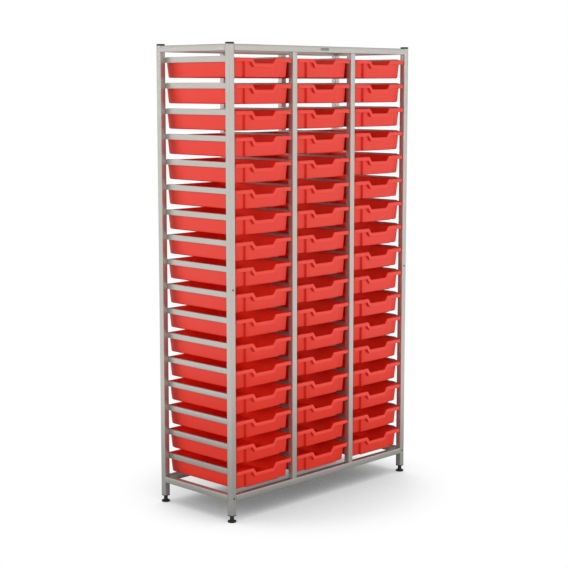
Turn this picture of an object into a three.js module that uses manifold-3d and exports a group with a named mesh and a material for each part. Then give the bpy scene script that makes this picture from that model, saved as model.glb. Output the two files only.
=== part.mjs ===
// Classroom tray storage unit: a welded steel frame with columns of shallow sliding trays.
// Millimetres, +Z up, the front faces -Y, and the origin is on the floor under the middle of the unit.

import * as THREE from 'three';
import { mergeVertices } from 'three/addons/utils/BufferGeometryUtils.js';
import Module from 'manifold-3d';

// Tray grid
const columns = 3;
const rows = 17;
const rowPitch = 100;

// Tray moulding
const trayWidth = 312;
const trayDepth = 427;
const trayHeight = 75;
const trayWall = 2;
const trayDraftDegrees = 4.3;
const frontCornerCut = 3;
const rearCornerCut = 12;
const rimFlange = 12;
const rimHeight = 15;
const rimCornerCut = 7;
const panelWidth = 193;
const panelFlange = 7;
const besidePanelFlange = 16;
const panelRiserRun = 2;
const gripTopWidth = 125;
const gripBottomWidth = 95;
const gripDepth = 20.5;

// Steel frame
const tube = 25;
const tubeWall = 1.5;
const frameDepth = 420;
const legBelowRail = 54;
const gapUnderTrays = 14;
const gapOverTrays = 25;

// Runner channel, folded from sheet and welded to the uprights
const runnerSheet = 1.2;
const runnerHeight = 22.5;
const runnerLedge = 11;
const runnerLip = 9;
const runnerLeadIn = 45;
const runnerEndInset = 2;

// Leg insert, levelling foot and top cap
const collarHeight = 4;
const insertDepth = 20;
const footBelowCollar = 25;
const footPadRadius = 17;
const footPadHeight = 6;
const footNeckRadius = 8;
const footNeckHeight = 9;
const stemRadius = 5;
const stemEndGap = 2;
const capHeight = 7;
const capBevel = 1.5;
const capPlug = 12;

// Clearances
const seatGap = 0.3;
const traySideClearance = 0.6;
const stemClearance = 0.4;

// Sizes that follow from the ones above
const bay = trayWidth + 2 * (runnerSheet + traySideClearance);
const bayPitch = bay + tube;
const frameWidth = columns * bay + (columns + 1) * tube;
const legEnd = footBelowCollar + collarHeight;
const lowRail = legEnd + legBelowRail;
const lowestTray = lowRail + tube + gapUnderTrays;
const highestRim = lowestTray + trayHeight + (rows - 1) * rowPitch;
const topRail = highestRim + gapOverTrays;
const frameTop = topRail + tube;
const padOverhang = footPadRadius - tube / 2;
const trayOverhang = trayDepth - frameDepth;
const trayDraft = Math.tan(THREE.MathUtils.degToRad(trayDraftDegrees));
const roundSides = 12;

const steel = new THREE.MeshStandardMaterial({ color: 0xbab5b0, roughness: 0.45, metalness: 0.3 });
const redPlastic = new THREE.MeshStandardMaterial({ color: 0xd9352b, roughness: 0.42, metalness: 0 });
const blackPlastic = new THREE.MeshStandardMaterial({ color: 0x242426, roughness: 0.6, metalness: 0 });

const wasm = await Module();
wasm.setup();

// Shared vertices are merged and triangles that collapse to a line are dropped.
function welded(geometry) {
  const bare = geometry.clone();
  bare.deleteAttribute('normal');
  bare.deleteAttribute('uv');
  const merged = mergeVertices(bare, 1e-4);
  const index = merged.index.array;
  const kept = [];
  for (let i = 0; i < index.length; i += 3) {
    const [a, b, c] = index.slice(i, i + 3);
    if (a !== b && b !== c && c !== a) {
      kept.push(a, b, c);
    }
  }
  merged.setIndex(kept);
  return merged;
}

function solidOf(geometry) {
  const merged = welded(geometry);
  const vertProperties = new Float32Array(merged.attributes.position.array);
  const triVerts = new Uint32Array(merged.index.array);
  return new wasm.Manifold(new wasm.Mesh({ numProp: 3, vertProperties, triVerts }));
}

function geometryOf(solid) {
  const mesh = solid.getMesh();
  const geometry = new THREE.BufferGeometry();
  geometry.setAttribute('position', new THREE.BufferAttribute(mesh.vertProperties, 3));
  geometry.setIndex(new THREE.BufferAttribute(mesh.triVerts, 1));
  geometry.computeVertexNormals();
  return geometry;
}

function joined(geometries) {
  return geometries.map(solidOf).reduce((sum, solid) => sum.add(solid));
}

function squareProfile(side) {
  const half = side / 2;
  return new THREE.Shape([
    new THREE.Vector2(-half, -half),
    new THREE.Vector2(half, -half),
    new THREE.Vector2(half, half),
    new THREE.Vector2(-half, half),
  ]);
}

// Square bars along each axis, centred on the other two coordinates.
function barAlongX(side, from, to, y, z) {
  const bar = new THREE.ExtrudeGeometry(squareProfile(side), { depth: to - from, bevelEnabled: false });
  return bar.rotateY(Math.PI / 2).translate(from, y, z);
}

function barAlongY(side, from, to, x, z) {
  const bar = new THREE.ExtrudeGeometry(squareProfile(side), { depth: to - from, bevelEnabled: false });
  return bar.rotateX(-Math.PI / 2).translate(x, from, z);
}

function barAlongZ(side, from, to, x, y) {
  const bar = new THREE.ExtrudeGeometry(squareProfile(side), { depth: to - from, bevelEnabled: false });
  return bar.translate(x, y, from);
}

// The runner is a channel that opens towards the tray. Its ends lean back from the ledge to the lip,
// so that a tray finds its way in.
function runner(faceX, opensTowards, ledgeTop) {
  const base = ledgeTop - runnerSheet;
  const section = [
    [0, 0],
    [runnerLedge, 0],
    [runnerLedge, runnerSheet],
    [runnerSheet, runnerSheet],
    [runnerSheet, runnerHeight - runnerSheet],
    [runnerLip, runnerHeight - runnerSheet],
    [runnerLip, runnerHeight],
    [0, runnerHeight],
  ];
  const profile = new THREE.Shape(section.map(([x, z]) => new THREE.Vector2(faceX + opensTowards * x, -z)));
  const length = frameDepth - 2 * runnerEndInset;
  const channel = new THREE.ExtrudeGeometry(profile, { depth: length, bevelEnabled: false });
  channel.rotateX(-Math.PI / 2).translate(0, -length / 2, 0);
  const places = channel.attributes.position;
  for (let i = 0; i < places.count; i += 1) {
    const lean = (runnerLeadIn * places.getZ(i)) / runnerHeight;
    places.setY(i, places.getY(i) - Math.sign(places.getY(i)) * lean);
  }
  return channel.translate(0, 0, base);
}

function runnerStack(faceX, opensTowards) {
  const stack = [];
  for (let row = 0; row < rows; row += 1) {
    const rim = highestRim - row * rowPitch;
    stack.push(runner(faceX, opensTowards, rim - rimHeight - seatGap));
  }
  return stack;
}

const uprightY = (frameDepth - tube) / 2;
const bore = tube - 2 * tubeWall;

// An end frame stands at x = 0, with its runners opening towards +X. The hollow rails open into the
// hollow uprights, and each upright is closed by a cap on top and by a threaded insert at the bottom.
function endFrameGeometry() {
  const outside = [];
  const hollows = [];
  for (const y of [-uprightY, uprightY]) {
    outside.push(barAlongZ(tube, footBelowCollar, frameTop, 0, y));
    const cap = new THREE.CylinderGeometry(
      (tube - 2 * capBevel) / Math.SQRT2,
      tube / Math.SQRT2,
      capHeight,
      4,
    );
    outside.push(cap.rotateX(Math.PI / 2).rotateZ(Math.PI / 4).translate(0, y, frameTop + capHeight / 2));
    hollows.push(barAlongZ(bore, legEnd + insertDepth, frameTop - capPlug, 0, y));
    const holeDepth = collarHeight + insertDepth + tubeWall;
    const hole = new THREE.CylinderGeometry(
      stemRadius + stemClearance,
      stemRadius + stemClearance,
      holeDepth,
      roundSides,
    );
    hole.rotateX(Math.PI / 2).translate(0, y, footBelowCollar + holeDepth / 2 - tubeWall / 2);
    hollows.push(hole);
  }
  const railEnd = uprightY - tube / 2;
  for (const z of [lowRail, topRail]) {
    outside.push(barAlongY(tube, -railEnd, railEnd, 0, z + tube / 2));
    const reach = railEnd + 2 * tubeWall;
    hollows.push(barAlongY(bore, -reach, reach, 0, z + tube / 2));
  }
  outside.push(...runnerStack(tube / 2, 1));
  return geometryOf(joined(outside).subtract(joined(hollows)));
}

// The centre frame ties the two end frames together: long rails at the front and rear, and between the
// columns pairs of uprights with runners on both sides.
function centreFrameGeometry() {
  const outside = [];
  const hollows = [];
  const railEnd = frameWidth / 2 - tube - seatGap;
  for (const y of [-uprightY, uprightY]) {
    for (const z of [lowRail, topRail]) {
      outside.push(barAlongX(tube, -railEnd, railEnd, y, z + tube / 2));
      hollows.push(barAlongX(bore, -railEnd - tubeWall, railEnd + tubeWall, y, z + tube / 2));
    }
  }
  for (let divider = 1; divider < columns; divider += 1) {
    const x = (tube - frameWidth) / 2 + divider * bayPitch;
    for (const y of [-uprightY, uprightY]) {
      outside.push(barAlongZ(tube, lowRail + tube, topRail, x, y));
      const reach = 2 * tubeWall;
      hollows.push(barAlongZ(bore, lowRail + tube - reach, topRail + reach, x, y));
    }
    outside.push(...runnerStack(x - tube / 2, -1), ...runnerStack(x + tube / 2, 1));
  }
  return geometryOf(joined(outside).subtract(joined(hollows)));
}

// The foot is a screw with a bell-shaped pad. Its stem turns in the insert of the leg above it.
function footGeometry() {
  const flare = new THREE.QuadraticBezierCurve(
    new THREE.Vector2(footPadRadius, footPadHeight),
    new THREE.Vector2(footNeckRadius, footPadHeight),
    new THREE.Vector2(footNeckRadius, footBelowCollar - footNeckHeight),
  );
  const neckTop = footBelowCollar - seatGap;
  const stemTop = legEnd + insertDepth - stemEndGap;
  const outline = [
    new THREE.Vector2(0, 0),
    new THREE.Vector2(footPadRadius - capBevel, 0),
    new THREE.Vector2(footPadRadius, capBevel),
    ...flare.getPoints(2),
    new THREE.Vector2(footNeckRadius, neckTop),
    new THREE.Vector2(stemRadius, neckTop),
    new THREE.Vector2(stemRadius, stemTop),
    new THREE.Vector2(0, stemTop),
  ];
  const turned = new THREE.LatheGeometry(outline, roundSides);
  return geometryOf(solidOf(turned.rotateX(Math.PI / 2)));
}

// The ring of points at one level of the tray, counter-clockwise from the left side. The front panel
// stands forward between risers, and the rim dips by gripDepth at the finger grip. A ring without one
// of these has its points at the end of the next straight run, so that all rings pair up.
function trayRing({ halfWidth, front, rear, frontCut, rearCut, panel, z, grip }) {
  const corner = [halfWidth - frontCut, front];
  const foot = panel ? [panel.halfWidth + panelRiserRun, front] : corner;
  const edge = panel ? [panel.halfWidth, panel.y] : corner;
  const dipTop = grip ? [gripTopWidth / 2, edge[1]] : edge;
  const dipBottom = grip ? [gripBottomWidth / 2, edge[1], -gripDepth] : edge;
  const right = [
    dipBottom,
    dipTop,
    edge,
    foot,
    corner,
    [halfWidth, front + frontCut],
    [halfWidth, rear - rearCut],
    [halfWidth - rearCut, rear],
  ];
  const left = right.map(([x, y, drop]) => [-x, y, drop]).reverse();
  return [...right, ...left].map(([x, y, drop = 0]) => new THREE.Vector3(x, y, z + drop));
}

// A ring of the tray's body: the drafted wall, with the front panel standing forward of what is beside it.
function bodyRing(level, wall, grip) {
  const inset = (trayHeight - level) * trayDraft + wall;
  return trayRing({
    halfWidth: trayWidth / 2 - rimFlange - inset,
    front: besidePanelFlange + inset - trayDepth / 2,
    rear: trayDepth / 2 - rimFlange - inset,
    frontCut: frontCornerCut,
    rearCut: rearCornerCut,
    panel: { halfWidth: panelWidth / 2 - inset, y: panelFlange + inset - trayDepth / 2 },
    z: level,
    grip,
  });
}

// A ring of the rim that hangs over the runners.
function rimRing(level, inset) {
  return trayRing({
    halfWidth: trayWidth / 2 - inset,
    front: inset - trayDepth / 2,
    rear: trayDepth / 2 - inset,
    frontCut: rimCornerCut,
    rearCut: 0,
    panel: null,
    z: level,
    grip: true,
  });
}

// Rings are joined one to the next, and the first and last are closed with flat floors.
function loft(rings) {
  const count = rings[0].length;
  const positions = rings.flat().flatMap((p) => [p.x, p.y, p.z]);
  const index = [];
  for (let ring = 0; ring + 1 < rings.length; ring += 1) {
    for (let i = 0; i < count; i += 1) {
      const next = (i + 1) % count;
      const a = ring * count;
      const b = a + count;
      index.push(a + i, a + next, b + next, a + i, b + next, b + i);
    }
  }
  const close = (ring, up) => {
    const start = ring * count;
    const seen = new Map();
    rings[ring].forEach((p, i) => seen.set(`${p.x.toFixed(3)},${p.y.toFixed(3)}`, i));
    const kept = [...seen.values()].sort((a, b) => a - b);
    const contour = kept.map((i) => new THREE.Vector2(rings[ring][i].x, rings[ring][i].y));
    for (const [a, b, c] of THREE.ShapeUtils.triangulateShape(contour, [])) {
      const face = [kept[a] + start, kept[b] + start, kept[c] + start];
      index.push(...(up ? face : face.reverse()));
    }
  };
  close(0, false);
  close(rings.length - 1, true);
  const geometry = new THREE.BufferGeometry();
  geometry.setAttribute('position', new THREE.Float32BufferAttribute(positions, 3));
  geometry.setIndex(index);
  return geometry;
}

// The tray is one thin moulding: floor, drafted walls, a flange with its skirt turned down over the
// runners, and a finger grip where the whole rim dips in the middle of the front.
function trayGeometry() {
  const underFlange = trayHeight - trayWall;
  const skirtEnd = trayHeight - rimHeight;
  return geometryOf(solidOf(loft([
    bodyRing(0, 0, false),
    bodyRing(underFlange, 0, true),
    rimRing(underFlange, trayWall),
    rimRing(skirtEnd, trayWall),
    rimRing(skirtEnd, 0),
    rimRing(trayHeight, 0),
    bodyRing(trayHeight, trayWall, true),
    bodyRing(trayWall, trayWall, false),
  ])));
}

// The trays reach further behind the frame than the feet reach in front of it, so the frame stands a
// little forward of the middle.
const unit = new THREE.Group();
const standing = new THREE.Group();
standing.position.y = (padOverhang - trayOverhang) / 2;
unit.add(standing);

function place(name, geometry, material, parent, x, y, z) {
  const mesh = new THREE.Mesh(geometry, material);
  mesh.name = name;
  mesh.position.set(x, y, z);
  parent.add(mesh);
  return mesh;
}

const frame = new THREE.Group();
const endFrame = endFrameGeometry();
const endX = (frameWidth - tube) / 2;
place('left_end_frame', endFrame, steel, frame, -endX, 0, 0);
place('right_end_frame', endFrame, steel, frame, endX, 0, 0).rotation.z = Math.PI;
place('centre_frame', centreFrameGeometry(), steel, frame, 0, 0, 0);
standing.add(frame);

const feet = new THREE.Group();
const foot = footGeometry();
place('foot_front_left', foot, blackPlastic, feet, -endX, -uprightY, 0);
place('foot_front_right', foot, blackPlastic, feet, endX, -uprightY, 0);
place('foot_rear_left', foot, blackPlastic, feet, -endX, uprightY, 0);
place('foot_rear_right', foot, blackPlastic, feet, endX, uprightY, 0);
standing.add(feet);

// Each column of trays is a group, with the front rims flush with the front of the uprights.
const tray = trayGeometry();
for (let column = 0; column < columns; column += 1) {
  const stack = new THREE.Group();
  stack.position.set((column - (columns - 1) / 2) * bayPitch, trayOverhang / 2, 0);
  for (let row = 0; row < rows; row += 1) {
    const name = `tray_column${column + 1}_row${String(row + 1).padStart(2, '0')}`;
    place(name, tray, redPlastic, stack, 0, 0, highestRim - trayHeight - row * rowPitch);
  }
  standing.add(stack);
}

export default unit;
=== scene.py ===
import math

import bmesh
import bpy
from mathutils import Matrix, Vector


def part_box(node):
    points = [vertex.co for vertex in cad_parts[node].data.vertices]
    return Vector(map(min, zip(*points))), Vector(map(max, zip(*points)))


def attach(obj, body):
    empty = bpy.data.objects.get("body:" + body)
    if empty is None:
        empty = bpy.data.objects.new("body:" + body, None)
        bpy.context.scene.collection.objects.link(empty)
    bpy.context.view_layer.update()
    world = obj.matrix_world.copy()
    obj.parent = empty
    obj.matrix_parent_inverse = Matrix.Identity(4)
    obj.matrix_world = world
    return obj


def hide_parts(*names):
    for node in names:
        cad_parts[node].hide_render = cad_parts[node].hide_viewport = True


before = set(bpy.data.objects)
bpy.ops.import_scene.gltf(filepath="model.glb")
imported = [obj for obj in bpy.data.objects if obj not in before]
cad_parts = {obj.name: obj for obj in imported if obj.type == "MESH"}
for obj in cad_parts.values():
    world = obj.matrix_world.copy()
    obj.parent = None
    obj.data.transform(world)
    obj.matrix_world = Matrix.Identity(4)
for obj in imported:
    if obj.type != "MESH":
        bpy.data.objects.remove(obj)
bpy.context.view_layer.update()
mm = 0.001
print("frame loaded:", len(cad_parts), "nodes")

# places that everything hangs on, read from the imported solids
decimals = 5  # of a metre, for what is shared or compared
trayNames = sorted(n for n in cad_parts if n.startswith("tray_"))
footNames = sorted(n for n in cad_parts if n.startswith("foot_"))
endLow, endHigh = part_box("left_end_frame")
midLow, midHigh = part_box("centre_frame")
trayLow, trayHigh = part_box(trayNames[0])
trayWidth, trayDepth, trayHeight = [round(side, decimals) for side in trayHigh - trayLow]
rimTops = sorted({round(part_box(n)[1].z, decimals) for n in trayNames}, reverse=True)
columnCentres = sorted({round((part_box(n)[0].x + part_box(n)[1].x) / 2, decimals) for n in trayNames})


# small helpers for meshes

meshing = {"weldReach": 1e-6, "shortestEdge": 1e-7, "smoothDegrees": 38}


def fillet(before, corner, after, radius, steps):
    # points of a round between two straight runs
    a = (before - corner).normalized()
    b = (after - corner).normalized()
    half = math.acos(max(-1.0, min(1.0, a.dot(b)))) / 2
    reach = radius / math.tan(half)
    centre = corner + (a + b).normalized() * (radius / math.sin(half))
    start = corner + a * reach - centre
    end = corner + b * reach - centre
    sweep = start.angle(end)
    points = []
    for i in range(steps + 1):
        t = i / steps
        arm = start * math.sin((1 - t) * sweep) + end * math.sin(t * sweep)
        points.append(centre + arm / math.sin(sweep))
    return points


def meshFromRings(rings, closeStart=True, closeEnd=True):
    # skins a list of equal closed rings, and closes the two ends with flat faces
    count = len(rings[0])
    points = [p for ring in rings for p in ring]
    faces = []
    for r in range(len(rings) - 1):
        for i in range(count):
            j = (i + 1) % count
            faces.append((r * count + i, r * count + j, (r + 1) * count + j, (r + 1) * count + i))
    if closeStart:
        faces.append(tuple(reversed(range(count))))
    if closeEnd:
        faces.append(tuple(range((len(rings) - 1) * count, len(rings) * count)))
    return points, faces


def addObject(name, parts, material, smoothDegrees=meshing["smoothDegrees"]):
    # parts is a list of (points, faces) that become one mesh
    points, faces = [], []
    for somePoints, someFaces in parts:
        offset = len(points)
        points.extend(somePoints)
        faces.extend(tuple(i + offset for i in face) for face in someFaces)
    mesh = bpy.data.meshes.new(name)
    mesh.from_pydata([tuple(p) for p in points], [], faces)
    bm = bmesh.new()
    bm.from_mesh(mesh)
    bmesh.ops.remove_doubles(bm, verts=bm.verts, dist=meshing["weldReach"])
    bmesh.ops.dissolve_degenerate(bm, edges=bm.edges, dist=meshing["shortestEdge"])
    bmesh.ops.recalc_face_normals(bm, faces=bm.faces)
    bm.to_mesh(mesh)
    bm.free()
    mesh.polygons.foreach_set("use_smooth", [True] * len(mesh.polygons))
    mesh.set_sharp_from_angle(angle=math.radians(smoothDegrees))
    mesh.materials.append(material)
    obj = bpy.data.objects.new(name, mesh)
    bpy.context.scene.collection.objects.link(obj)
    return obj


def roundedSquare(half, radius, steps):
    # ring of a square tube's outside, counter-clockwise
    points = []
    for quarter in range(4):
        angle = math.radians(90 * quarter)
        centre = Vector((half - radius, half - radius))
        for i in range(steps + 1):
            turn = math.radians(90 * i / steps)
            p = centre + radius * Vector((math.cos(turn), math.sin(turn)))
            points.append(Vector((p.x * math.cos(angle) - p.y * math.sin(angle),
                                  p.x * math.sin(angle) + p.y * math.cos(angle))))
    return points


def lathe(profile, centre, steps):
    # turns (radius, height) points about an upright axis
    rings = []
    for radius, height in profile:
        ring = []
        for i in range(steps):
            turn = 2 * math.pi * i / steps
            x = centre[0] + radius * math.cos(turn)
            y = centre[1] + radius * math.sin(turn)
            ring.append(Vector((x, y, centre[2] + height)))
        rings.append(ring)
    return meshFromRings(rings)


# finishes

clouds = {"cloudDetail": 3, "grainDetail": 2, "tint": (0.3, 0.7)}


def newMaterial(name, colour, roughness, metallic=0.0, specular=0.5):
    material = bpy.data.materials.new(name)
    material.use_nodes = True
    shader = material.node_tree.nodes["Principled BSDF"]
    shader.inputs["Base Color"].default_value = (*colour, 1)
    shader.inputs["Roughness"].default_value = roughness
    shader.inputs["Metallic"].default_value = metallic
    shader.inputs["Specular IOR Level"].default_value = specular
    return material, material.node_tree.nodes, material.node_tree.links, shader


def noise(nodes, links, scale, detail, coords):
    texture = nodes.new("ShaderNodeTexNoise")
    texture.inputs["Scale"].default_value = scale
    texture.inputs["Detail"].default_value = detail
    links.new(coords.outputs["Object"], texture.inputs["Vector"])
    return texture


def ramp(nodes, links, source, low, high, lowColour, highColour):
    colours = nodes.new("ShaderNodeValToRGB")
    colours.color_ramp.elements[0].position = low
    colours.color_ramp.elements[0].color = (*lowColour, 1)
    colours.color_ramp.elements[1].position = high
    colours.color_ramp.elements[1].color = (*highColour, 1)
    links.new(source, colours.inputs["Fac"])
    return colours


def spread(nodes, links, source, low, high):
    mapped = nodes.new("ShaderNodeMapRange")
    mapped.inputs["To Min"].default_value = low
    mapped.inputs["To Max"].default_value = high
    links.new(source, mapped.inputs["Value"])
    return mapped


def bump(nodes, links, source, strength, distance, shader):
    relief = nodes.new("ShaderNodeBump")
    relief.inputs["Strength"].default_value = strength
    relief.inputs["Distance"].default_value = distance
    links.new(source, relief.inputs["Height"])
    links.new(relief.outputs["Normal"], shader.inputs["Normal"])


def makeFinish(name, finish):
    # a base colour that wanders a little, uneven gloss and a fine grain
    rough, uneven = finish["roughness"], finish["glossSpread"]
    material, nodes, links, shader = newMaterial(
        name, finish["colour"], rough, finish["metallic"], finish["specular"])
    coords = nodes.new("ShaderNodeTexCoord")
    cloud = noise(nodes, links, finish["cloudScale"], clouds["cloudDetail"], coords)
    tint = ramp(nodes, links, cloud.outputs["Fac"], *clouds["tint"], finish["dark"], finish["light"])
    links.new(tint.outputs["Color"], shader.inputs["Base Color"])
    gloss = spread(nodes, links, cloud.outputs["Fac"], rough - uneven, rough + uneven)
    links.new(gloss.outputs["Result"], shader.inputs["Roughness"])
    grain = noise(nodes, links, finish["grainScale"], clouds["grainDetail"], coords)
    bump(nodes, links, grain.outputs["Fac"], finish["grainStrength"], finish["grainDepth"], shader)
    return material


steelFinish = {
    "colour": (0.580, 0.562, 0.520), "dark": (0.565, 0.547, 0.505), "light": (0.595, 0.577, 0.535),
    "roughness": 0.32, "glossSpread": 0.03, "metallic": 0.68, "specular": 0.5,
    "cloudScale": 9.0, "grainScale": 1400.0, "grainStrength": 0.03, "grainDepth": 0.0002,
}
redFinish = {
    "colour": (0.940, 0.031, 0.010), "dark": (0.935, 0.030, 0.009), "light": (0.945, 0.032, 0.011),
    "roughness": 0.40, "glossSpread": 0.04, "metallic": 0.0, "specular": 0.84,
    "cloudScale": 14.0, "grainScale": 900.0, "grainStrength": 0.06, "grainDepth": 0.0002,
}
# the rim is glossier than the walls, and its lighter colour is painted light, standing in for the extra
# light that falls on the rim
rimGlossAndPaintedLightFinish = {
    **redFinish, "specular": 0.95,
    "colour": (0.990, 0.035, 0.012), "dark": (0.985, 0.034, 0.011), "light": (0.995, 0.036, 0.013),
}
# a duller sheen inside the tub: partly a matte finish, partly painted shade that damps the reflections
# inside the hollow
insideMatteAndPaintedShadeFinish = {**redFinish, "specular": 0.32}
blackFinish = {
    "colour": (0.020, 0.020, 0.021), "dark": (0.017, 0.017, 0.018), "light": (0.026, 0.026, 0.027),
    "roughness": 0.5, "glossSpread": 0.06, "metallic": 0.0, "specular": 0.5,
    "cloudScale": 60.0, "grainScale": 1600.0, "grainStrength": 0.12, "grainDepth": 0.0002,
}
zincFinish = {
    "colour": (0.62, 0.61, 0.59), "dark": (0.56, 0.55, 0.53), "light": (0.68, 0.67, 0.65),
    "roughness": 0.3, "glossSpread": 0.08, "metallic": 0.9, "specular": 0.5,
    "cloudScale": 300.0, "grainScale": 2500.0, "grainStrength": 0.05, "grainDepth": 0.0001,
}
plateFinish = {
    "colour": (0.300, 0.302, 0.290), "dark": (0.285, 0.287, 0.275), "light": (0.315, 0.317, 0.305),
    "roughness": 0.38, "glossSpread": 0.04, "metallic": 0.45, "specular": 0.5,
    "cloudScale": 40.0, "grainScale": 1800.0, "grainStrength": 0.04, "grainDepth": 0.0002,
}
steelPaint = makeFinish("steelPaint", steelFinish)
redPlastic = makeFinish("redPlastic", redFinish)
# the rim's material: a real gloss, plus painted light in its lighter colour
redRimGlossAndPaintedLight = makeFinish("redRimGlossAndPaintedLight", rimGlossAndPaintedLightFinish)
# the inside's material: a matte finish, plus painted shade on its sheen
redInsideMatteAndPaintedShade = makeFinish("redInsideMatteAndPaintedShade", insideMatteAndPaintedShadeFinish)
blackPlastic = makeFinish("blackPlastic", blackFinish)
zincSteel = makeFinish("zincSteel", zincFinish)
plateGrey = makeFinish("plateGrey", plateFinish)
print("finishes made")


# trays

tray = {
    "width": trayWidth, "depth": trayDepth, "height": trayHeight, "wall": 2 * mm, "draftDegrees": 4.3,
    "corner": 17 * mm, "frontCorner": 3 * mm, "cornerSteps": 7, "smoothDegrees": 40,
    "floorRound": 5 * mm, "insideRound": 7 * mm, "floorTurns": (0, 30, 60, 90),
    "flange": 12 * mm, "rimCorner": 10 * mm, "rimRound": 1.5 * mm, "rimTurns": (0, 45, 90),
    "rimReach": 3 * mm, "mouthEdge": 0.9 * mm, "skirt": 15 * mm, "skirtEdge": 0.5 * mm,
    "panelHalf": 96.5 * mm, "panelFlange": 7 * mm, "columnFlange": 16 * mm,
    "riserRun": 2 * mm, "riserRound": 1.0 * mm, "riserSteps": 3,
    "gripTop": 62.5 * mm, "gripBottom": 47.5 * mm, "gripDepth": 20.5 * mm,
    "gripRound": 5 * mm, "gripSteps": 4, "gripSkirtSpread": 6.4 * mm, "gripSkirtOpen": 1 * mm,
}


def gripLine(half, spreadOut):
    # (x, drop) of the rim along the right half of the front, from the middle to the panel's edge
    low, top = tray["gripBottom"] + spreadOut, tray["gripTop"] + spreadOut
    depth = tray["gripDepth"]
    line = [Vector((0, -depth)), Vector((low, -depth)), Vector((top, 0)), Vector((half, 0))]
    points = [line[0], Vector((low / 2, -depth))]
    points += fillet(line[0], line[1], line[2], tray["gripRound"], tray["gripSteps"])
    points += fillet(line[1], line[2], line[3], tray["gripRound"], tray["gripSteps"])
    return points + [Vector((top + tray["gripRound"], 0))]


def bodyHalf(inset, wall):
    # right half of the tub's plan: the panel's y, the riser beside it, the front corner and the rear one
    halfWidth = tray["width"] / 2 - tray["flange"] - inset
    columnY = -tray["depth"] / 2 + tray["columnFlange"] + inset
    rearY = tray["depth"] / 2 - tray["flange"] - inset
    panelY = -tray["depth"] / 2 + tray["panelFlange"] + inset
    panelHalf = tray["panelHalf"] - inset
    front = Vector((0, panelY))
    edge = Vector((panelHalf, panelY))
    foot = Vector((panelHalf + tray["riserRun"], columnY))
    corner = Vector((halfWidth, columnY))
    rearCorner = Vector((halfWidth, rearY))
    rear = Vector((0, rearY))
    radius = tray["corner"] - wall
    bend, steps = tray["riserRound"], tray["riserSteps"]
    riser = fillet(front, edge, foot, bend, steps) + fillet(edge, foot, corner, bend, steps)
    turn = fillet(foot, corner, rearCorner, tray["frontCorner"] - wall, tray["cornerSteps"])
    back = fillet(corner, rearCorner, rear, radius, tray["cornerSteps"])
    return panelY, riser, turn, back


def trayRing(z, inset=0.0, wall=0.0, rim=None, grip=False, spreadOut=0.0, fill=0.0):
    # one closed ring: a ring of the walls, or of the rim if rim gives its distance in from the outside;
    # wall tightens the corners inside, and fill lowers the ring along the grip, where the skirt is closed
    slope = math.tan(math.radians(tray["draftDegrees"]))
    panelY, riser, turn, back = bodyHalf(inset, wall)
    stations = gripLine(tray["panelHalf"], spreadOut)
    drops = [p.y - fill if grip else 0.0 for p in stations[:-1]] + [0.0]
    half = []
    if rim is None:
        for p, drop in zip(stations, drops):
            half.append(Vector((p.x, panelY - drop * slope, z + drop)))
        half += [Vector((p.x, p.y, z)) for p in riser + turn + back]
    else:
        frontY = -tray["depth"] / 2 + rim
        sideX = tray["width"] / 2 - rim
        rearY = tray["depth"] / 2 - rim
        radius = tray["rimCorner"] - rim
        corner, rearCorner = Vector((sideX, frontY)), Vector((sideX, rearY))
        half += [Vector((p.x, frontY, z + drop)) for p, drop in zip(stations, drops)]
        half += [Vector((p.x, frontY, z)) for p in riser]
        rimTurn = fillet(Vector((0, frontY)), corner, rearCorner, radius, tray["cornerSteps"])
        rimBack = fillet(corner, rearCorner, Vector((0, rearY)), radius, tray["cornerSteps"])
        half += [Vector((p.x, p.y, z)) for p in rimTurn + rimBack]
    mirrored = [Vector((-p.x, p.y, p.z)) for p in reversed(half[1:])]
    return half + mirrored


def trayRings():
    # from the floor's underside up the walls, round the turned-down rim and down the inside
    height, wall, skirtEnd = tray["height"], tray["wall"], tray["height"] - tray["skirt"]
    edge, mouth = tray["skirtEdge"], tray["mouthEdge"]
    slope = math.tan(math.radians(tray["draftDegrees"]))
    walls = []
    for degrees in tray["floorTurns"]:
        turn = math.radians(degrees)
        z = tray["floorRound"] * (1 - math.cos(turn))
        inward = tray["floorRound"] * (1 - math.sin(turn))
        walls.append(trayRing(z, inset=(height - z) * slope + inward))
    underFlange, outwards = height - wall, tray["gripSkirtSpread"]
    closed = tray["skirt"] - wall - tray["gripSkirtOpen"]
    walls.append(trayRing(underFlange, inset=wall * slope, grip=True, spreadOut=outwards, fill=closed))
    walls.append(trayRing(underFlange, rim=wall, grip=True, spreadOut=outwards, fill=closed))
    for rise, inwards in ((edge, wall), (0, wall - edge), (0, edge), (edge, 0.0)):  # round the skirt's end
        walls.append(trayRing(skirtEnd + rise, rim=inwards, grip=True, spreadOut=outwards))
    roundOver = tray["rimRound"]
    for degrees in tray["rimTurns"]:
        turn = math.radians(degrees)
        z = height - roundOver * (1 - math.sin(turn))
        walls.append(trayRing(z, rim=roundOver * (1 - math.cos(turn)), grip=True))
    walls.append(trayRing(height, inset=wall - mouth, wall=wall, grip=True))
    walls.append(trayRing(height - mouth, inset=wall, wall=wall, grip=True))
    inner = tray["insideRound"]
    for degrees in reversed(tray["floorTurns"]):
        turn = math.radians(degrees)
        z = wall + inner * (1 - math.cos(turn))
        inward = inner * (1 - math.sin(turn))
        walls.append(trayRing(z, inset=(height - z) * slope + wall + inward, wall=wall))
    return walls


def dressTray(mesh):
    # the rim is shinier than the walls and a little lighter, the lightness being painted light; the tub's
    # inside is duller, partly a matte finish and partly painted shade on its sheen
    mesh.materials.append(redRimGlossAndPaintedLight)
    mesh.materials.append(redInsideMatteAndPaintedShade)
    rimSlot, insideSlot = 1, 2
    mouth = Vector((0, 0, tray["height"]))
    for face in mesh.polygons:
        out = max(abs(face.center.x) - tray["width"] / 2, abs(face.center.y) - tray["depth"] / 2)
        if out > -tray["rimReach"]:
            face.material_index = rimSlot
        elif face.normal.dot(mouth - face.center) > 0:
            face.material_index = insideSlot


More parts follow.
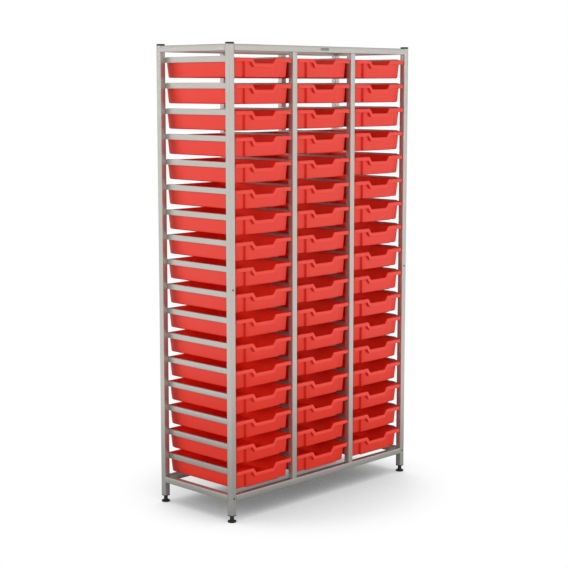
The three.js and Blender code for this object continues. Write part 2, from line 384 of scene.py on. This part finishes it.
trayModel = addObject("trayModel", [meshFromRings(trayRings())], redPlastic, tray["smoothDegrees"])
trayMesh = trayModel.data
bpy.data.objects.remove(trayModel)
dressTray(trayMesh)
for name in trayNames:
    low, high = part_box(name)
    piece = bpy.data.objects.new(name + ".moulding", trayMesh)
    bpy.context.scene.collection.objects.link(piece)
    piece.location = ((low.x + high.x) / 2, (low.y + high.y) / 2, low.z)
    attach(piece, name)
    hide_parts(name)
print("trays made:", len(trayNames), "with", len(trayMesh.polygons), "faces each")


# steel tubes

steel = {
    "tube": 25 * mm, "edge": 2.2 * mm, "edgeSteps": 3, "smoothDegrees": 30,
    "gap": 0.3 * mm, "collar": 4 * mm,
}
plan = {
    "left": endLow.x + steel["tube"] / 2,
    "front": endLow.y + steel["tube"] / 2, "rear": endHigh.y - steel["tube"] / 2,
    "legEnd": round(endLow.z, decimals) + steel["collar"],
    "lowRail": round(midLow.z, decimals), "top": round(midHigh.z, decimals),
}
plan["topRail"] = plan["top"] - steel["tube"]
plan["right"] = -plan["left"]
dividers = [(a + b) / 2 for a, b in zip(columnCentres, columnCentres[1:])]


def tubeAlong(axis, start, end, first, second):
    # square tube with rounded edges, closed at both ends, along one axis
    rings = []
    for at in (start, end):
        ring = []
        for p in roundedSquare(steel["tube"] / 2, steel["edge"], steel["edgeSteps"]):
            if axis == "x":
                ring.append(Vector((at, first + p.x, second + p.y)))
            elif axis == "y":
                ring.append(Vector((first + p.y, at, second + p.x)))
            else:
                ring.append(Vector((first + p.x, second + p.y, at)))
        rings.append(ring)
    return meshFromRings(rings)


# runner channels

runner = {
    "sheet": 1.2 * mm, "height": 22.5 * mm, "ledge": 11 * mm, "lip": 9 * mm, "lipDepth": 1.8 * mm,
    "bend": 1.6 * mm, "bendSteps": 3, "frontInset": 10 * mm, "rearInset": 2 * mm, "belowRim": 16.5 * mm,
    "cornerDrop": 8 * mm, "cornerRun": 30 * mm, "lipRun": 18 * mm,
}


def runnerSection():
    # the folded sheet's outside and inside as (outwards, up), both from the ledge's free edge to the lip's
    sheet, height, steps = runner["sheet"], runner["height"], runner["bendSteps"]
    knee = height - runner["cornerDrop"]
    sides = []
    for inset, bend in ((0, runner["bend"]), (sheet, runner["bend"] - sheet)):
        ledge, foot = Vector((runner["ledge"], inset)), Vector((inset, inset))
        head, lip = Vector((inset, height - inset)), Vector((runner["lip"], height - inset))
        side = [ledge] + fillet(ledge, foot, head, bend, steps) + [Vector((inset, knee))]
        sides.append(side + fillet(foot, head, lip, bend, steps) + [lip])
    return sides


def runnerEnd(p, cut):
    # how far the end is cut back at a point of the section
    knee = runner["height"] - runner["cornerDrop"]
    if p.y > knee:
        cut += runner["cornerRun"] * (p.y - knee) / runner["cornerDrop"]
    if p.y > runner["height"] - runner["lipDepth"]:
        cut += runner["lipRun"] * p.x / runner["lip"]
    return cut


def runnerChannel(faceX, side, rimTop):
    outside, inside = runnerSection()
    section = outside + inside[::-1]
    base = rimTop - runner["belowRim"]
    rings = []
    for endY, inward, cut in ((endLow.y, 1, runner["frontInset"]), (endHigh.y, -1, runner["rearInset"])):
        ring = []
        for p in section:
            ring.append(Vector((faceX + side * p.x, endY + inward * runnerEnd(p, cut), base + p.y)))
        rings.append(ring)
    points, faces = meshFromRings(rings, closeStart=False, closeEnd=False)
    count = len(section)
    for offset in (0, count):  # each end is closed across the sheet, strip by strip
        for i in range(len(outside) - 1):
            strip = (i, i + 1, count - 2 - i, count - 1 - i)
            faces.append(tuple(offset + k for k in strip))
    return points, faces


def endFrame(name, x, side):
    half = steel["tube"] / 2
    parts = []
    for y in (plan["front"], plan["rear"]):
        parts.append(tubeAlong("z", plan["legEnd"], plan["top"], x, y))
    for z in (plan["lowRail"], plan["topRail"]):
        parts.append(tubeAlong("y", plan["front"] + half, plan["rear"] - half, x, z + half))
    parts += [runnerChannel(x + side * half, side, rimTop) for rimTop in rimTops]
    piece = addObject(name + ".tubes", parts, steelPaint, steel["smoothDegrees"])
    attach(piece, "frame")
    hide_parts(name)


def centreFrame():
    half = steel["tube"] / 2
    reach = plan["right"] - half - steel["gap"]
    parts = []
    for y in (plan["front"], plan["rear"]):
        for z in (plan["lowRail"], plan["topRail"]):
            parts.append(tubeAlong("x", -reach, reach, y, z + half))
        for x in dividers:
            parts.append(tubeAlong("z", plan["lowRail"] + steel["tube"], plan["topRail"], x, y))
    for x in dividers:
        for side in (-1, 1):
            parts += [runnerChannel(x + side * half, side, rimTop) for rimTop in rimTops]
    piece = addObject("centre_frame.tubes", parts, steelPaint, steel["smoothDegrees"])
    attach(piece, "frame")
    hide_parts("centre_frame")


endFrame("left_end_frame", plan["left"], 1)
endFrame("right_end_frame", plan["right"], -1)
centreFrame()
print("steel frame made")


# caps, leg inserts and feet

cap = {"height": 7 * mm, "edge": 2.6 * mm, "edgeSteps": 4, "bevel": 1.6 * mm, "bevelKnee": 0.3}
foot = {
    "collarEdge": 0.8 * mm, "steps": 40, "middleFlat": 0.2 * mm,
    "pad": 17 * mm, "padHeight": 6 * mm, "neck": 8 * mm, "neckTop": 24.7 * mm, "neckEdge": 0.8 * mm,
    "stem": 5 * mm, "stemEdge": 1 * mm, "bellSteps": 6, "bellRise": 1.5 * mm, "bellTop": 15 * mm,
    # rounds of the pad, as (in from its edge, up from the floor) and (in from its edge, down from its top)
    "soleRound": ((1.2 * mm, 0), (0.3 * mm, 0.4 * mm), (0, 1.4 * mm)),
    "padRound": ((0, 1.5 * mm), (0.5 * mm, 0.5 * mm), (1.6 * mm, 0)),
}


def squareStack(x, y, levels):
    # (half width, height) rings of a rounded square
    rings = []
    for half, z in levels:
        outline = roundedSquare(half, cap["edge"], cap["edgeSteps"])
        rings.append([Vector((x + p.x, y + p.y, z)) for p in outline])
    return meshFromRings(rings)


def topCap(name, x, y):
    half, crown, bevel = steel["tube"] / 2, plan["top"] + cap["height"], cap["bevel"]
    knee = cap["bevelKnee"] * bevel
    levels = [(half, plan["top"])]
    levels += [(half - inwards, crown - drop) for inwards, drop in ((0, bevel), (knee, knee), (bevel, 0))]
    piece = addObject(name, [squareStack(x, y, levels)], blackPlastic)
    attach(piece, "frame")


def legInsert(name, x, y):
    half, bottom = steel["tube"] / 2, plan["legEnd"] - steel["collar"]
    edge = foot["collarEdge"]
    levels = [(half - edge, bottom), (half, bottom + edge), (half, plan["legEnd"])]
    piece = addObject(name, [squareStack(x, y, levels)], blackPlastic)
    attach(piece, "frame")


def levellingFoot(name):
    low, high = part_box(name)
    centre = ((low.x + high.x) / 2, (low.y + high.y) / 2, 0)
    pad, padTop, neck, neckTop = foot["pad"], foot["padHeight"], foot["neck"], foot["neckTop"]
    neckEdge, stem, stemEdge = foot["neckEdge"], foot["stem"], foot["stemEdge"]
    profile = [(foot["middleFlat"], 0)]
    profile += [(pad - inwards, rise) for inwards, rise in foot["soleRound"]]
    profile += [(pad - inwards, padTop - drop) for inwards, drop in foot["padRound"]]
    shoulder = profile[-1][0]
    for i in range(1, foot["bellSteps"] + 1):  # the bell sweeps up into the neck
        t = i / foot["bellSteps"]
        first, second, third = (1 - t) ** 2, 2 * t * (1 - t), t * t
        radius = first * shoulder + second * neck + third * neck
        height = first * padTop + second * (padTop + foot["bellRise"]) + third * foot["bellTop"]
        profile.append((radius, height))
    profile += [(neck, neckTop - neckEdge), (neck - neckEdge, neckTop), (stem, neckTop)]
    profile += [(stem, high.z - stemEdge), (stem - stemEdge, high.z)]
    piece = addObject(name + ".bell", [lathe(profile, centre, foot["steps"])], blackPlastic)
    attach(piece, name)
    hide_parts(name)


for sideName, x in (("left", plan["left"]), ("right", plan["right"])):
    for endName, y in (("front", plan["front"]), ("rear", plan["rear"])):
        topCap("cap_" + endName + "_" + sideName, x, y)
        legInsert("insert_" + endName + "_" + sideName, x, y)
for name in footNames:
    levellingFoot(name)
print("caps and feet made")


# screws and the bare plate

screw = {
    "radius": 3.6 * mm, "rise": 1.6 * mm, "socket": 1.7 * mm, "depth": 1.0 * mm, "middleFlat": 0.1 * mm,
    "dome": ((1, 0), (1, 0.3), (0.85, 0.75), (0.6, 1)),  # shares of the radius and the rise
    "steps": 24, "low": 95.5 * mm, "middle": 917 * mm, "sideInset": 2 * mm,
}
plate = {
    "half": 24 * mm, "low": 1830.5 * mm, "high": 1840.5 * mm, "corner": 1.5 * mm, "cornerSteps": 4,
    "thick": 0.6 * mm, "sunk": 0.2 * mm, "edgeShare": 0.6, "faceShare": (0.99, 0.94),
}


def screwHead(name, at, towards, material):
    # domed head with a round socket, turned so that it stands on the face it holds
    bottom = screw["rise"] - screw["depth"]
    profile = [(across * screw["radius"], up * screw["rise"]) for across, up in screw["dome"]]
    profile += [(screw["socket"], screw["rise"]), (screw["socket"], bottom), (screw["middleFlat"], bottom)]
    points, faces = lathe(profile, (0, 0, 0), screw["steps"])
    turn = Vector((0, 0, 1)).rotation_difference(Vector(towards))
    points = [turn @ p + Vector(at) for p in points]
    piece = addObject(name, [(points, faces)], material)
    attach(piece, "frame")


for sideName, x, out in (("left", plan["left"], -1), ("right", plan["right"], 1)):
    for levelName in ("low", "middle"):
        at = (x, endLow.y, screw[levelName])
        screwHead("screw_front_" + levelName + "_" + sideName, at, (0, -1, 0), blackPlastic)
    at = (x + out * steel["tube"] / 2, plan["front"] + screw["sideInset"], screw["low"])
    screwHead("screw_side_low_" + sideName, at, (out, 0, 0), zincSteel)


def barePlate():
    # a thin plate with rounded corners on the top front rail
    y, half = endLow.y, plate["half"]
    low, high = plate["low"], plate["high"]
    ring = [Vector((-half, low)), Vector((half, low)), Vector((half, high)), Vector((-half, high))]
    outline = []
    for i in range(4):
        outline += fillet(ring[i - 1], ring[i], ring[(i + 1) % 4], plate["corner"], plate["cornerSteps"])
    back = [Vector((p.x, y + plate["sunk"], p.y)) for p in outline]
    edge = [Vector((p.x, y - plate["thick"] * plate["edgeShare"], p.y)) for p in outline]
    middle = (low + high) / 2
    across, up = plate["faceShare"]
    face = [Vector((p.x * across, y - plate["thick"], middle + (p.y - middle) * up)) for p in outline]
    piece = addObject("maker_plate_bare", [meshFromRings([back, edge, face])], plateGrey)
    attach(piece, "frame")


barePlate()
print("screws and plate made")


# floor, light and camera

studio = {
    "floorSize": 40.0, "floorColour": (0.36, 0.36, 0.36), "floorRoughness": 0.9, "floorSpecular": 0.1,
    "fade": (0.46, 0.77), "fadeInMetal": (1.0, 2.4), "floorInMetal": 0.37,
    "shadeReach": 0.9, "shadeSamples": 12,
    "shade": ((0.0, 0.10), (0.35, 0.42), (0.7, 0.82), (0.9, 0.985), (1.0, 1.0)),
    "horizonLight": 0.55, "zenithLight": 0.28, "zenithFrom": 0.7,
    "whiteWall": (0.12, 0.50), "zenithInMetal": 0.3,
    "darkTowards": (0.707, 0.707, 0.0), "darkEdge": (0.2, 0.7), "darkInMetal": 0.25, "darkAsLight": 0.6,
    "diffuseBounces": 12, "allBounces": 16,
    "rightLamp": {"energy": 450, "size": (5.4, 1.8), "at": (5.4, -8.1, 2.0), "aim": (0.0, 0.0, 1.3)},
    "leftLamp": {"energy": 192, "size": (3.6, 1.2), "at": (-4.4, 4.4, 2.0), "aim": (0.0, 0.0, 1.3)},
    "frontLamp": {"energy": 68, "size": (1.8, 1.2), "at": (-4.95, -3.3, 2.0), "aim": (0.0, 0.0, 1.3)},
}


def seenRays(nodes, links):
    # 1 for rays from the camera and for those that gloss or glass sends on
    rays = nodes.new("ShaderNodeLightPath")
    first = nodes.new("ShaderNodeMath")
    second = nodes.new("ShaderNodeMath")
    first.operation = second.operation = "MAXIMUM"
    links.new(rays.outputs["Is Camera Ray"], first.inputs[0])
    links.new(rays.outputs["Is Glossy Ray"], first.inputs[1])
    links.new(first.outputs["Value"], second.inputs[0])
    links.new(rays.outputs["Is Transmission Ray"], second.inputs[1])
    return rays, second.outputs["Value"]


def makeFloor():
    # paper that keeps the soft shade under the rack and fades to plain white further out
    size = studio["floorSize"] / 2
    points = [Vector((x * size, y * size, 0)) for x, y in ((-1, -1), (1, -1), (1, 1), (-1, 1))]
    material, nodes, links, shader = newMaterial(
        "floorPaper", studio["floorColour"], studio["floorRoughness"], specular=studio["floorSpecular"])
    shade = nodes.new("ShaderNodeAmbientOcclusion")
    shade.samples = studio["shadeSamples"]
    shade.inputs["Distance"].default_value = studio["shadeReach"]
    grey = nodes.new("ShaderNodeFloatCurve")
    curve = grey.mapping.curves[0]
    for i, (x, y) in enumerate(studio["shade"]):
        if 0 < i < len(studio["shade"]) - 1:
            curve.points.new(x, y)
        else:
            curve.points[0 if i == 0 else -1].location = (x, y)
    grey.mapping.update()
    links.new(shade.outputs["AO"], grey.inputs["Value"])
    coords = nodes.new("ShaderNodeTexCoord")
    reach = nodes.new("ShaderNodeVectorMath")
    reach.operation = "LENGTH"
    links.new(coords.outputs["Object"], reach.inputs[0])
    fade = nodes.new("ShaderNodeMapRange")
    fade.interpolation_type = "SMOOTHSTEP"
    links.new(reach.outputs["Value"], fade.inputs["Value"])
    whiten = nodes.new("ShaderNodeMix")
    whiten.inputs["B"].default_value = 1.0
    links.new(fade.outputs["Result"], whiten.inputs["Factor"])
    rays, seen = seenRays(nodes, links)
    for limit, seenFade, metalFade in zip(("From Min", "From Max"), studio["fade"], studio["fadeInMetal"]):
        edge = spread(nodes, links, rays.outputs["Is Glossy Ray"], seenFade, metalFade)
        links.new(edge.outputs["Result"], fade.inputs[limit])
    # the near floor is dimmer in the metal
    inMetal = spread(nodes, links, rays.outputs["Is Glossy Ray"], 1.0, studio["floorInMetal"])
    dimmed = nodes.new("ShaderNodeMath")
    dimmed.operation = "MULTIPLY"
    links.new(grey.outputs["Value"], dimmed.inputs[0])
    links.new(inMetal.outputs["Result"], dimmed.inputs[1])
    links.new(dimmed.outputs["Value"], whiten.inputs["A"])
    paper = nodes.new("ShaderNodeEmission")
    paper.inputs["Color"].default_value = (1, 1, 1, 1)
    links.new(whiten.outputs["Result"], paper.inputs["Strength"])
    mix = nodes.new("ShaderNodeMixShader")
    links.new(seen, mix.inputs["Fac"])
    links.new(shader.outputs["BSDF"], mix.inputs[1])
    links.new(paper.outputs["Emission"], mix.inputs[2])
    links.new(mix.outputs["Shader"], nodes["Material Output"].inputs["Surface"])
    floor = addObject("floor", [(points, [(0, 1, 2, 3)])], material)


def makeWorld():
    # white to the eye all round; as light and in the metal it is dimmer overhead and behind on the right
    world = bpy.data.worlds.new("studioWorld")
    bpy.context.scene.world = world
    world.use_nodes = True
    nodes, links = world.node_tree.nodes, world.node_tree.links
    nodes.clear()
    coords = nodes.new("ShaderNodeTexCoord")
    towards = nodes.new("ShaderNodeVectorMath")
    towards.operation = "DOT_PRODUCT"
    towards.inputs[1].default_value = studio["darkTowards"]
    links.new(coords.outputs["Generated"], towards.inputs[0])
    rays, seen = seenRays(nodes, links)
    depth = spread(nodes, links, seen, studio["darkAsLight"], studio["darkInMetal"])
    dark = nodes.new("ShaderNodeMapRange")
    dark.interpolation_type = "SMOOTHSTEP"
    dark.inputs["From Min"].default_value, dark.inputs["From Max"].default_value = studio["darkEdge"]
    dark.inputs["To Min"].default_value = 1.0
    links.new(depth.outputs["Result"], dark.inputs["To Max"])
    links.new(towards.outputs["Value"], dark.inputs["Value"])
    split = nodes.new("ShaderNodeSeparateXYZ")
    links.new(coords.outputs["Generated"], split.inputs["Vector"])
    up = nodes.new("ShaderNodeMapRange")
    up.interpolation_type = "SMOOTHSTEP"
    up.inputs["From Max"].default_value = studio["zenithFrom"]
    links.new(split.outputs["Z"], up.inputs["Value"])
    light = spread(nodes, links, up.outputs["Result"], studio["horizonLight"], studio["zenithLight"])
    white = nodes.new("ShaderNodeMapRange")
    white.interpolation_type = "SMOOTHSTEP"
    white.inputs["From Min"].default_value, white.inputs["From Max"].default_value = studio["whiteWall"]
    white.inputs["To Min"].default_value = 1.0
    white.inputs["To Max"].default_value = studio["zenithInMetal"]
    links.new(split.outputs["Z"], white.inputs["Value"])
    level = nodes.new("ShaderNodeMix")  # white in gloss and glass, softer as light
    links.new(seen, level.inputs["Factor"])
    links.new(light.outputs["Result"], level.inputs["A"])
    links.new(white.outputs["Result"], level.inputs["B"])
    dimmed = nodes.new("ShaderNodeMath")
    dimmed.operation = "MULTIPLY"
    links.new(level.outputs["Result"], dimmed.inputs[0])
    links.new(dark.outputs["Result"], dimmed.inputs[1])
    strength = nodes.new("ShaderNodeMix")
    links.new(rays.outputs["Is Camera Ray"], strength.inputs["Factor"])
    links.new(dimmed.outputs["Value"], strength.inputs["A"])
    strength.inputs["B"].default_value = 1.0
    background = nodes.new("ShaderNodeBackground")
    background.inputs["Color"].default_value = (1, 1, 1, 1)
    links.new(strength.outputs["Result"], background.inputs["Strength"])
    output = nodes.new("ShaderNodeOutputWorld")
    links.new(background.outputs["Background"], output.inputs["Surface"])


def softBox(name, light):
    lamp = bpy.data.lights.new(name, "AREA")
    lamp.energy = light["energy"]
    lamp.shape = "RECTANGLE"
    lamp.size, lamp.size_y = light["size"]
    obj = bpy.data.objects.new(name, lamp)
    bpy.context.scene.collection.objects.link(obj)
    obj.location = light["at"]
    obj.rotation_euler = (Vector(light["aim"]) - Vector(light["at"])).to_track_quat("-Z", "Y").to_euler()
    obj.visible_glossy = False  # the metal shows the white room, not the lamp


view = {
    "at": (-4.1099, -4.0140, 1.6900), "headingDegrees": 45.551, "downDegrees": 7.644,
    "focalPixels": 1385.2, "imageSize": 568, "shiftPixels": 12.0, "sensor": 36.0,
}


def makeCamera():
    camera = bpy.data.cameras.new("photoCamera")
    camera.sensor_width = view["sensor"]
    camera.lens = camera.sensor_width * view["focalPixels"] / view["imageSize"]
    camera.shift_y = -view["shiftPixels"] / view["imageSize"]
    obj = bpy.data.objects.new("photoCamera", camera)
    bpy.context.scene.collection.objects.link(obj)
    obj.location = view["at"]
    obj.rotation_euler = (math.radians(90 - view["downDegrees"]), 0, -math.radians(view["headingDegrees"]))
    bpy.context.scene.camera = obj


makeFloor()
makeWorld()
for place in ("right", "left", "front"):
    softBox(place + "SoftBox", studio[place + "Lamp"])
bpy.context.scene.cycles.diffuse_bounces = studio["diffuseBounces"]
bpy.context.scene.cycles.max_bounces = studio["allBounces"]
makeCamera()
bpy.context.scene.view_settings.view_transform = "Standard"
print("studio made")
